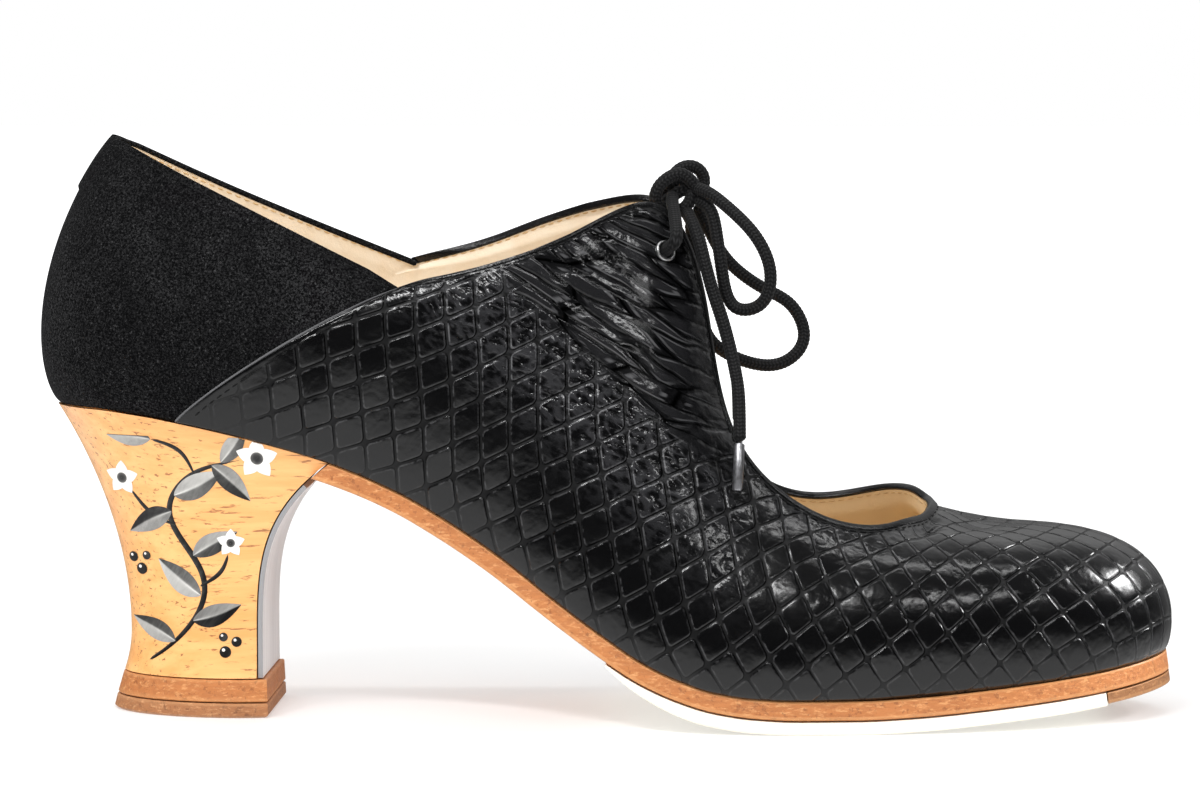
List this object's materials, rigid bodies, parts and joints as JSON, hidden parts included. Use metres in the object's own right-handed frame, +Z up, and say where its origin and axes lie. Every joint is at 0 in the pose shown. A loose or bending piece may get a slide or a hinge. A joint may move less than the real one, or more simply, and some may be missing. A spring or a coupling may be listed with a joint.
{
  "type": "flamenco shoe",
  "caption": "Right lace-up flamenco dance shoe: scale-embossed upper with suede heel counter, open keyhole vamp, curved leather sole and flared wooden heel with a painted sprig.",
  "frame": {"origin": "on the floor, under the middle of the shoe's box without the tied lace", "axes": "+X from heel to toe, +Y to the inner side of the foot, +Z up"},
  "size_m": [0.2426, 0.083, 0.1238],
  "materials": {
    "embossed_black": "glossy black leather embossed with scales, and matte black suede at the heel counter",
    "lining_leather": "smooth beige lining leather",
    "sole_leather": "tan vegetable leather with a waxed edge",
    "white_rubber": "matte white rubber",
    "heel_wood": "varnished pale wood with a painted sprig",
    "breast_grey": "smooth pale grey cover",
    "lift_base": "dark speckled fibre",
    "nickel": "polished nickel",
    "gunmetal": "dark polished metal",
    "lace_black": "round woven cord"
  },
  "bodies": {
    "root": {"upper": "embossed_black", "insole": "lining_leather", "outsole": "sole_leather", "rubber_forepart": "white_rubber", "toe_piece": "sole_leather", "heel": "heel_wood", "breast_cover": "breast_grey", "heel_lift": "sole_leather", "heel_lift_base": "lift_base", "eyelet_lateral": "nickel", "eyelet_medial": "nickel", "lace_bar": "lace_black", "lace_knot": "lace_black", "lace_loop_lateral": "lace_black", "lace_loop_medial": "lace_black", "lace_end_lateral": "lace_black", "lace_end_medial": "lace_black", "aglet_lateral": "gunmetal", "aglet_medial": "gunmetal"}
  },
  "joints": []
}
